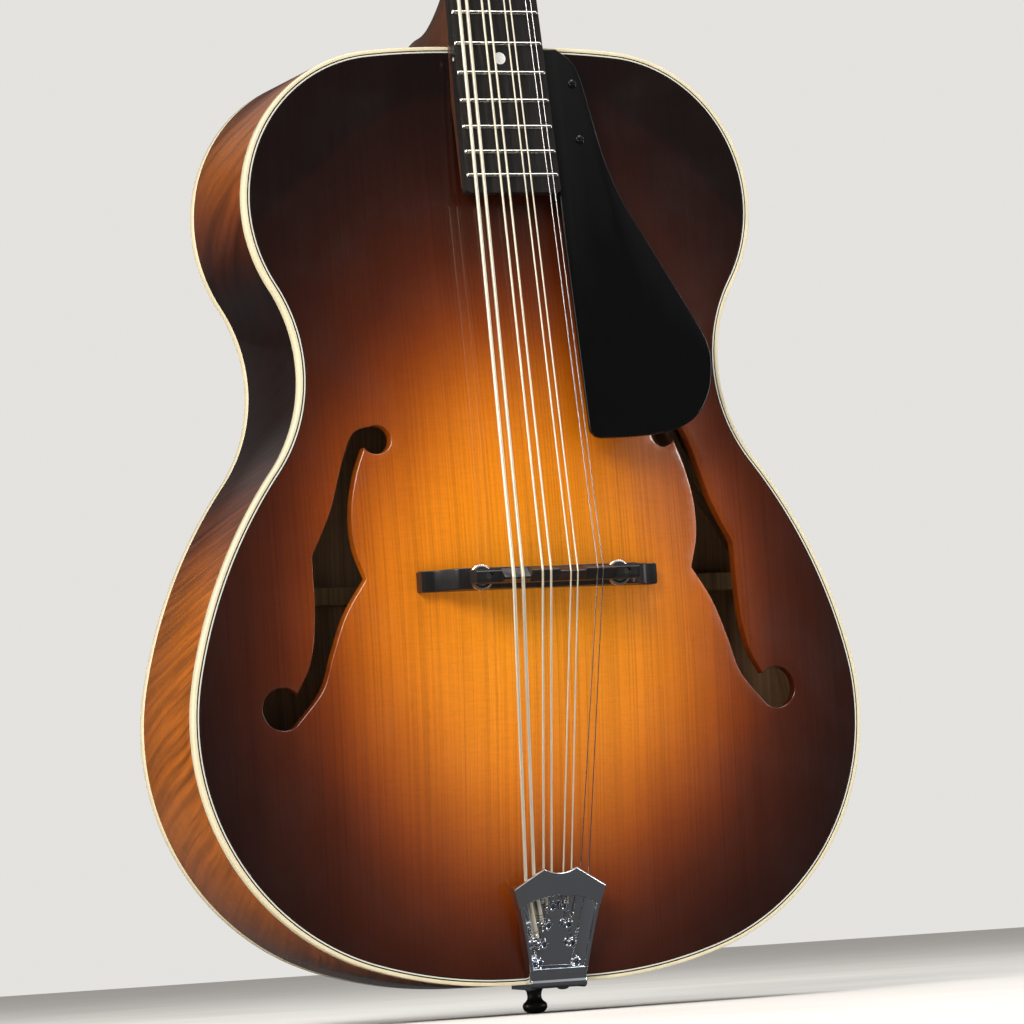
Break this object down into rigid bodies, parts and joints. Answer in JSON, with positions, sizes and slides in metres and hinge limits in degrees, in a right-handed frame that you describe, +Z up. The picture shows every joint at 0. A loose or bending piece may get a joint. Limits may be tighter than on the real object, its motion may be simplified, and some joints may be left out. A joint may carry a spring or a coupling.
{
  "type": "mandocello",
  "caption": "Archtop mandocello: carved body with f-holes, tilted neck, paired strings over a floating bridge to a metal tailpiece, geared tuners.",
  "frame": {"origin": "where the end pin seats on the outside of the tail, on the body's centre line, 26 mm behind the front edge of the rim", "axes": "+Z up the body towards the headstock, -Y out of the carved top, +X to the treble side as seen from the front"},
  "size_m": [0.3716, 0.1569, 1.0243],
  "materials": {
    "spruce_top": "gloss sunburst lacquer over spruce",
    "maple_back": "gloss sunburst lacquer over flamed maple",
    "maple_ribs": "gloss sunburst lacquer over flamed maple",
    "inner_wood": "bare wood",
    "inner_spruce": "bare spruce",
    "cream_binding": "polished cream plastic",
    "black_purfling": "black line inlay",
    "white_purfling": "white line inlay",
    "neck_maple": "gloss dark brown lacquer over maple",
    "ebony": "oiled ebony, satin",
    "rod_steel": "plain steel",
    "pearl": "mother-of-pearl",
    "nickel_silver": "polished nickel silver",
    "bone": "polished bone",
    "headstock_black": "gloss black veneer",
    "black_plastic": "polished black",
    "nickel": "polished nickel plate",
    "wound_string": "phosphor-bronze winding",
    "plain_string": "plain drawn steel",
    "tail_chrome": "mirror chrome",
    "brass": "machined brass",
    "tuner_button": "ivory-coloured plastic button on a nickel-plated shaft"
  },
  "bodies": {
    "root": {"top_plate": "spruce_top", "back_plate": "maple_back", "rib_bass": "maple_ribs", "rib_treble": "maple_ribs", "neck_block": "inner_wood", "tail_block": "inner_wood", "lining_front": "inner_wood", "lining_back": "inner_wood", "tone_bars": "inner_spruce", "back_brace": "inner_spruce", "top_binding": "cream_binding", "back_binding": "cream_binding", "top_purfling_black": "black_purfling", "top_purfling_white": "white_purfling", "neck": "neck_maple", "heel_cap": "ebony", "truss_rod": "rod_steel", "position_dots": "pearl", "fretboard": "ebony", "frets": "nickel_silver", "nut": "bone", "headstock_veneer": "headstock_black", "truss_rod_cover": "black_plastic", "truss_cover_screw": "nickel", "post_bushings": "nickel", "tuner_plate_bass": "nickel", "tuner_plate_treble": "nickel", "tuner_plate_screws": "nickel", "strings_c": "wound_string", "strings_g": "wound_string", "strings_d": "wound_string", "strings_a": "plain_string", "bridge_base": "ebony", "bridge_studs": "nickel", "tailpiece": "tail_chrome", "tailpiece_screws": "nickel", "end_pin": "ebony", "pickguard": "black_plastic", "pickguard_screws": "black_plastic", "pickguard_supports": "ebony"},
    "saddle": {"bridge_saddle": "ebony"},
    "wheel_bass": {"thumbwheel_bass": "nickel"},
    "wheel_treble": {"thumbwheel_treble": "nickel"},
    "rod_nut": {"truss_rod_nut": "brass"},
    "key_1": {"tuner_key_1": "tuner_button"},
    "post_1": {"tuner_post_1": "nickel"},
    "key_2": {"tuner_key_2": "tuner_button"},
    "post_2": {"tuner_post_2": "nickel"},
    "key_3": {"tuner_key_3": "tuner_button"},
    "post_3": {"tuner_post_3": "nickel"},
    "key_4": {"tuner_key_4": "tuner_button"},
    "post_4": {"tuner_post_4": "nickel"},
    "key_5": {"tuner_key_5": "tuner_button"},
    "post_5": {"tuner_post_5": "nickel"},
    "key_6": {"tuner_key_6": "tuner_button"},
    "post_6": {"tuner_post_6": "nickel"},
    "key_7": {"tuner_key_7": "tuner_button"},
    "post_7": {"tuner_post_7": "nickel"},
    "key_8": {"tuner_key_8": "tuner_button"},
    "post_8": {"tuner_post_8": "nickel"}
  },
  "joints": [
    {"name": "bridge_height", "type": "slide", "parent": "root", "child": "saddle", "axis": [0, -1, 0], "range_m": [-0.0015, 0.002], "deforming": ["strings_c", "strings_g", "strings_d", "strings_a"]},
    {"name": "thumbwheel_bass_turn", "type": "hinge", "parent": "saddle", "child": "wheel_bass", "pos_m": [-0.038, -0.0565, 0.206], "axis": [0, -1, 0], "range_deg": [-771.93, 1029.07]},
    {"name": "thumbwheel_treble_turn", "type": "hinge", "parent": "saddle", "child": "wheel_treble", "pos_m": [0.038, -0.0565, 0.206], "axis": [0, -1, 0], "range_deg": [-771.93, 1029.07]},
    {"name": "truss_rod_nut_turn", "type": "hinge", "parent": "root", "child": "rod_nut", "pos_m": [0, 0.01428, 0.84063], "axis": [0, 0.108, 0.9942], "range_deg": [-360, 360]},
    {"name": "tuner_key_1_turn", "type": "hinge", "parent": "root", "child": "key_1", "pos_m": [-0.022, 0.04378, 0.87871], "axis": [1, 0, 0], "continuous": true},
    {"name": "tuner_post_1_turn", "type": "hinge", "parent": "root", "child": "post_1", "pos_m": [-0.021, 0.02111, 0.87677], "axis": [0, -0.9385, 0.3453], "continuous": true},
    {"name": "tuner_key_2_turn", "type": "hinge", "parent": "root", "child": "key_2", "pos_m": [-0.022, 0.05275, 0.90311], "axis": [1, 0, 0], "continuous": true},
    {"name": "tuner_post_2_turn", "type": "hinge", "parent": "root", "child": "post_2", "pos_m": [-0.021, 0.03009, 0.90117], "axis": [0, -0.9385, 0.3453], "continuous": true},
    {"name": "tuner_key_3_turn", "type": "hinge", "parent": "root", "child": "key_3", "pos_m": [-0.022, 0.06173, 0.92751], "axis": [1, 0, 0], "continuous": true},
    {"name": "tuner_post_3_turn", "type": "hinge", "parent": "root", "child": "post_3", "pos_m": [-0.021, 0.03907, 0.92557], "axis": [0, -0.9385, 0.3453], "continuous": true},
    {"name": "tuner_key_4_turn", "type": "hinge", "parent": "root", "child": "key_4", "pos_m": [-0.022, 0.07071, 0.95191], "axis": [1, 0, 0], "continuous": true},
    {"name": "tuner_post_4_turn", "type": "hinge", "parent": "root", "child": "post_4", "pos_m": [-0.021, 0.04804, 0.94997], "axis": [0, -0.9385, 0.3453], "continuous": true},
    {"name": "tuner_key_5_turn", "type": "hinge", "parent": "root", "child": "key_5", "pos_m": [0.022, 0.04378, 0.87871], "axis": [1, 0, 0], "continuous": true},
    {"name": "tuner_post_5_turn", "type": "hinge", "parent": "root", "child": "post_5", "pos_m": [0.021, 0.02111, 0.87677], "axis": [0, -0.9385, 0.3453], "continuous": true},
    {"name": "tuner_key_6_turn", "type": "hinge", "parent": "root", "child": "key_6", "pos_m": [0.022, 0.05275, 0.90311], "axis": [1, 0, 0], "continuous": true},
    {"name": "tuner_post_6_turn", "type": "hinge", "parent": "root", "child": "post_6", "pos_m": [0.021, 0.03009, 0.90117], "axis": [0, -0.9385, 0.3453], "continuous": true},
    {"name": "tuner_key_7_turn", "type": "hinge", "parent": "root", "child": "key_7", "pos_m": [0.022, 0.06173, 0.92751], "axis": [1, 0, 0], "continuous": true},
    {"name": "tuner_post_7_turn", "type": "hinge", "parent": "root", "child": "post_7", "pos_m": [0.021, 0.03907, 0.92557], "axis": [0, -0.9385, 0.3453], "continuous": true},
    {"name": "tuner_key_8_turn", "type": "hinge", "parent": "root", "child": "key_8", "pos_m": [0.022, 0.07071, 0.95191], "axis": [1, 0, 0], "continuous": true},
    {"name": "tuner_post_8_turn", "type": "hinge", "parent": "root", "child": "post_8", "pos_m": [0.021, 0.04804, 0.94997], "axis": [0, -0.9385, 0.3453], "continuous": true}
  ],
  "couplings": [
    {"joint": "thumbwheel_bass_turn", "follows": "bridge_height", "rad_per_m": 8976},
    {"joint": "thumbwheel_treble_turn", "follows": "bridge_height", "rad_per_m": 8976},
    {"joint": "tuner_post_1_turn", "follows": "tuner_key_1_turn", "ratio": 0.066667},
    {"joint": "tuner_post_2_turn", "follows": "tuner_key_2_turn", "ratio": 0.066667},
    {"joint": "tuner_post_3_turn", "follows": "tuner_key_3_turn", "ratio": 0.066667},
    {"joint": "tuner_post_4_turn", "follows": "tuner_key_4_turn", "ratio": 0.066667},
    {"joint": "tuner_post_5_turn", "follows": "tuner_key_5_turn", "ratio": 0.066667},
    {"joint": "tuner_post_6_turn", "follows": "tuner_key_6_turn", "ratio": 0.066667},
    {"joint": "tuner_post_7_turn", "follows": "tuner_key_7_turn", "ratio": 0.066667},
    {"joint": "tuner_post_8_turn", "follows": "tuner_key_8_turn", "ratio": 0.066667}
  ]
}
